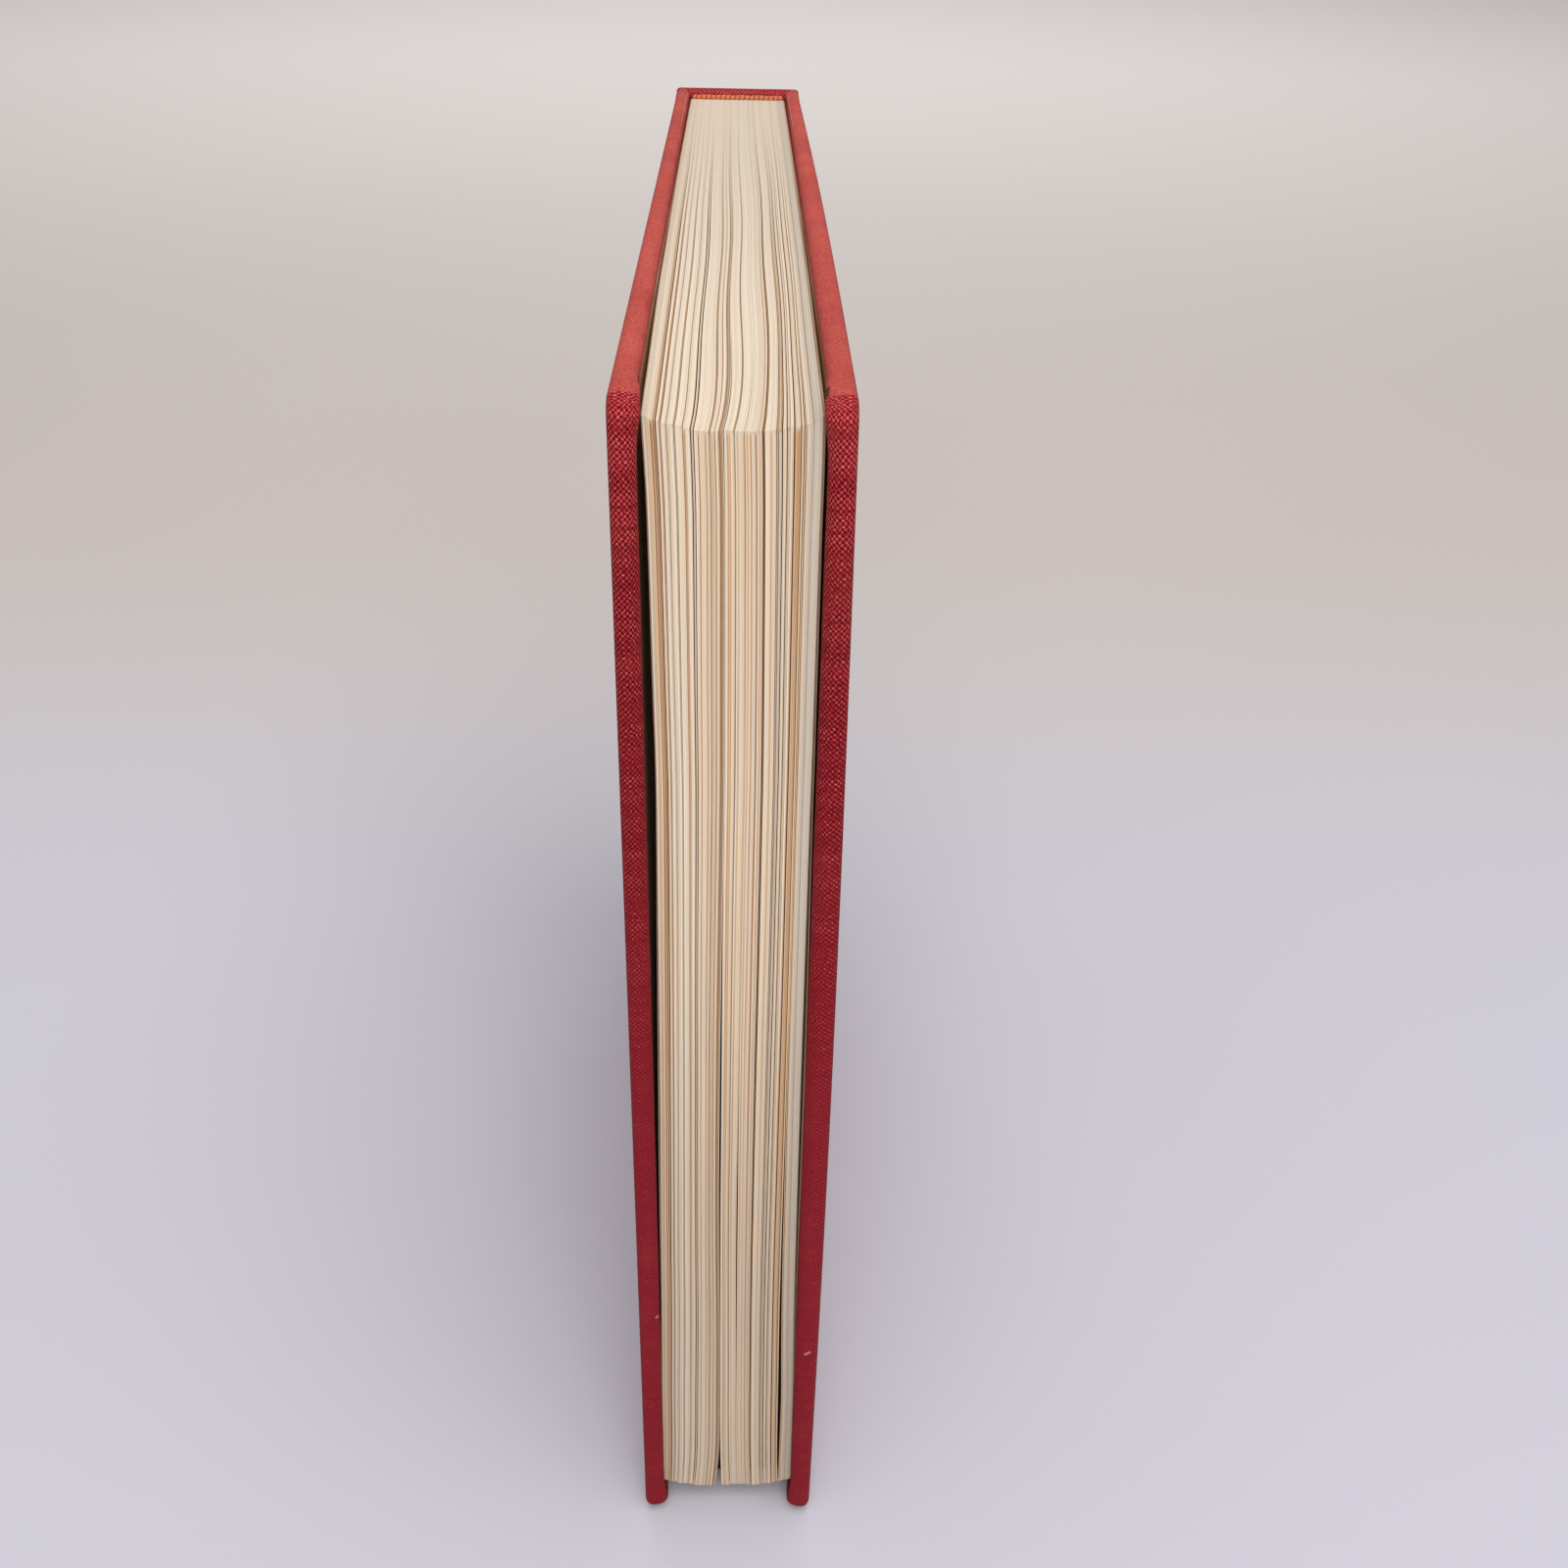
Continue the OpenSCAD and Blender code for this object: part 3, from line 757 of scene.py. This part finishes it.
def cover_swell(along, up, inset):
    """How far the turned-in cloth stands proud of the board."""
    share = np.clip(1 - along / cover_len, 0, 1)
    from_end = np.maximum(np.minimum(book_h - up, up) - 1, 0)
    tuck = np.clip(1 - np.maximum(along - 1, 0) / tuck_d - from_end / tuck_h, 0, 1)
    tuck = ease(tuck, 0, 0.8) * (1 - ease(inset, 2.4, 3.2))
    ripple = 0.02 * np.sin(along * 0.7 + up * 0.31)
    return near_rim(inset) * (-rim_in + rim_swell * share ** 1.5) + tuck_swell * tuck + ripple


def clothed(name, points, faces, uv):
    made = piece(name, points, faces, uv)
    solid = bmesh.new()
    solid.from_mesh(made.data)
    bmesh.ops.recalc_face_normals(solid, faces=solid.faces)
    solid.to_mesh(made.data)
    solid.free()
    made.data.materials.append(cloth)
    made.data.shade_smooth()
    return made


def flat_face(along, up, inset):
    return 0 * inset


def warped_face(along, up, inset):
    """How far the back cover bows outward."""
    share = np.clip(1 - along / cover_len, 0, 1)
    side_bow = 0.58 * np.sin(np.pi * up / book_h) * share ** 2
    return side_bow + 0.49 * np.sin(np.pi * share) * ease(up, 0.6 * book_h, book_h)


def cloth_area(made):
    return sum(face.area for face in made.data.polygons) / 2


cover_cloths = {}
for name, side, longer, bow in (("front", -1, 0.0, flat_face), ("back", 1, 0.5, warped_face)):
    wrap, wrap_faces, wrap_uv = wrapped(
        cover_len + longer, book_h, cover_t, round_r, corner_r, cover_swell, bow)
    cover = clothed(name + "_cover_cloth", on_cover(wrap, side), wrap_faces, wrap_uv)
    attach(cover, name + "_cover")
    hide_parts(name + "_cloth")
    cover_cloths[name] = cover

# Spine: the same cloth carried over the spine strip and turned in at head and tail.
# Rounded ends of the cover edges run back to it on both sides.
spine_t = back_y - joint_y
spine_round, spine_corner = 1.05, 0.8
ledge_len, ledge_round, ledge_corner = 1.5, 1.4, 1.45
plate, plate_faces, plate_uv = wrapped(
    2 * half_out, book_h, spine_t, spine_round, spine_corner, flat_face, flat_face,
    both=True, edge_fold=False)
x, y, z = plate.T
plate = np.stack([y + half_out, back_y - x, z], 1)
points, faces, uv = [plate], list(plate_faces), list(plate_uv)


def ledge_swell(along, up, inset):
    return -rim_in * near_rim(inset)


ledge, ledge_faces, ledge_uv = wrapped(
    ledge_len, book_h, cover_t, ledge_round, ledge_corner, ledge_swell, flat_face)
for side in (-1, 1):
    base = sum(len(p) for p in points)
    x, y, z = ledge.T
    points.append(np.stack([side * (half_out - x), joint_y - y, z], 1))
    faces += [tuple(base + k for k in face) for face in ledge_faces]
    uv += ledge_uv
spine = clothed("spine_cover_cloth", np.concatenate(points), faces, uv)
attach(spine, "root")
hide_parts("spine_cloth")

# Joints: the strip of cloth between each board and the spine, free of glue, on which the cover turns.
# It laps over the outer face and round the head and tail folds.
# Its borders run out into the cloth beside it.
bend = round_r * (1 - np.cos(np.linspace(0, np.pi / 2, fold_n)))
rise = fold_rise(bend, round_r)
shown = np.stack([cover_t / 2 * (1 - rise), bend], 1)
behind = np.stack([cover_t / 2 + (cover_t / 2 - rim_in) * rise, bend], 1)[1:]
face_z = np.linspace(round_r, book_h - round_r, 38)[1:-1]
up_over = np.concatenate([behind[::-1], shown, np.stack([0 * face_z, face_z], 1)])
over_down = np.concatenate([shown[::-1], behind]) * (1, -1) + (0, book_h)
profile = np.concatenate([up_over, over_down])
tangent = np.gradient(profile, axis=0)
tangent /= np.linalg.norm(tangent, axis=1, keepdims=True)
outward = np.stack([-tangent[:, 1], tangent[:, 0]], 1)
walk = np.concatenate([[0], np.cumsum(np.linalg.norm(np.diff(profile, axis=0), axis=1))])
across = np.array([-5, -4.2, -3.2, -2.2, -1.4, -0.9, -0.6, -0.4, -0.2, 0, 0.2, 0.4, 0.6, 0.85, 1.15])
lap = ease(across, -5, -2.5) * (1 - ease(across, 0.5, 1.2))
joint_t, joint_proud, joint_sunk = 0.12, 0.13, 0.03
for name, side in (("front", -1), ("back", 1)):
    skins = []
    for below in (0, joint_t):
        for s, proud in zip(across, lap):
            lifted = joint_proud * proud * (1 - 0.8 * abs(outward[:, 1:])) - joint_sunk - below
            ring = profile + outward * lifted
            flat = np.stack([ring[:, 0], np.full(len(ring), s), ring[:, 1]], 1)
            if s < 0:
                skins.append(on_cover(flat + (0, joint_clear / 2, 0), side))
            else:
                skins.append(np.stack([side * (half_out - flat[:, 0]), hinge_y + flat[:, 1], flat[:, 2]], 1))
    rows, cols = len(across), len(profile)
    count = rows * cols
    faces, uv = [], []
    for i in range(rows - 1):
        for j in range(cols - 1):
            quad = [(i, j), (i, j + 1), (i + 1, j + 1), (i + 1, j)]
            faces.append(tuple(p * cols + q for p, q in quad))
            faces.append(tuple(count + p * cols + q for p, q in quad[::-1]))
            uv += [(across[p], walk[q]) for p, q in quad + quad[::-1]]
    rim = [(i, 0) for i in range(rows)] + [(rows - 1, j) for j in range(1, cols)]
    rim += [(i, cols - 1) for i in range(rows - 2, -1, -1)] + [(0, j) for j in range(cols - 2, 0, -1)]
    for a, b in zip(rim, rim[1:] + rim[:1]):
        low, high = a[0] * cols + a[1], b[0] * cols + b[1]
        faces.append((low, high, high + count, low + count))
        uv += [(across[p], walk[q]) for p, q in (a, b, b, a)]
    joint = clothed(name + "_joint_cloth", np.concatenate(skins), faces, uv)
    hinge = (side * half_out * mm, hinge_y * mm, book_h / 2 * mm)
    name + "_cover"
    hinge[1] + 0.6 * mm
    hinge[1] - 0.6 * mm
    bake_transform(joint)
    cover = cover_cloths[name]
    flat_w, flat_l = (cover_len + cover_t + turn_in) * mm, (book_h + 2 * (cover_t + turn_in)) * mm
    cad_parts[name + "_board"]
    min(flat_w * flat_l, cloth_area(cover))
flat_w = cloth_area(spine) / flat_l

# Table: a pale surface with a faint lavender cast, lighter far behind the book, with a pinker, slightly
# darker band just behind it: painted shade and a painted reflection of the red cloth.
# Large soft lamps hang above the book, in front of it and behind it.
table_mesh = bpy.data.meshes.new("table")
table_grid = bmesh.new()
bmesh.ops.create_grid(table_grid, x_segments=8, y_segments=8, size=6.0)
table_grid.to_mesh(table_mesh)
table_grid.free()
table = bpy.data.objects.new("table", table_mesh)
bpy.context.scene.collection.objects.link(table)
surface, shader, field = finish("table_top", 0.9)
x, y, z = field.node("TexCoord", {}, {}, 3).parts()
cloud = field.noise(x / 0.4, y / 0.4, 0.0, 3.0)
cool = cloud.mix(tint(190, 188, 197), tint(197, 195, 204))
# Painted shade and a painted reflection of the red cloth: the floor just behind the book is pinker and a
# little darker
pink_shade_behind_book = cloud.mix(tint(190, 181, 175), tint(196, 187, 181))
ground_with_shade = y.step(0.02, 0.35).mix(cool, pink_shade_behind_book)
set_socket(shader, "Base Color", y.step(0.4, 1.5).mix(ground_with_shade, tint(216, 210, 206)))
table_mesh.materials.append(surface)

for name, place, target, size, power in (
    ("top_lamp", (0.2, -0.5, 1.6), (0, 0, 0.1), 1.5, 15.2),
    ("front_lamp", (0.05, -0.8, 0.62), (0, 0, 0.1), 0.6, 3.5),
    ("back_lamp", (0, 1.5, 1.3), (0, 1.5, 0), 1.6, 11.0),
):
    lamp = bpy.data.lights.new(name, "AREA")
    lamp.shape = "DISK"
    lamp.size = size
    lamp.energy = power
    holder = bpy.data.objects.new(name, lamp)
    bpy.context.scene.collection.objects.link(holder)
    holder.location = place
    holder.rotation_euler = (Vector(target) - Vector(place)).to_track_quat("-Z", "Y").to_euler()
world = bpy.data.worlds.new("room")
world.use_nodes = True
world.node_tree.nodes["Background"].inputs["Color"].default_value = tint(244, 244, 248)
world.node_tree.nodes["Background"].inputs["Strength"].default_value = 0.5
bpy.context.scene.world = world

# Camera: held above the fore edge and looking down at the standing book.
# Its place is in millimetres, and its focal length is in pixels of the picture's width.
sensor_w, picture_w, focal = 36, 1600, 1718.27
camera_x, camera_y, camera_z = 0.752, -282.35, 273.64
pitch, yaw, roll = math.radians(32.289), math.radians(1.914), math.radians(1.419)
lens_data = bpy.data.cameras.new("camera")
lens_data.sensor_width = sensor_w
lens_data.lens = focal / picture_w * sensor_w
lens_data.clip_start = 0.01
camera = bpy.data.objects.new("camera", lens_data)
bpy.context.scene.collection.objects.link(camera)
aim = Matrix.Rotation(-yaw, 4, "Z") @ Matrix.Rotation(math.pi / 2 - pitch, 4, "X")
aim = aim @ Matrix.Rotation(roll, 4, "Z")
camera.matrix_world = Matrix.Translation((camera_x * mm, camera_y * mm, camera_z * mm)) @ aim
bpy.context.scene.camera = camera
bpy.context.scene.view_settings.view_transform = "Standard"
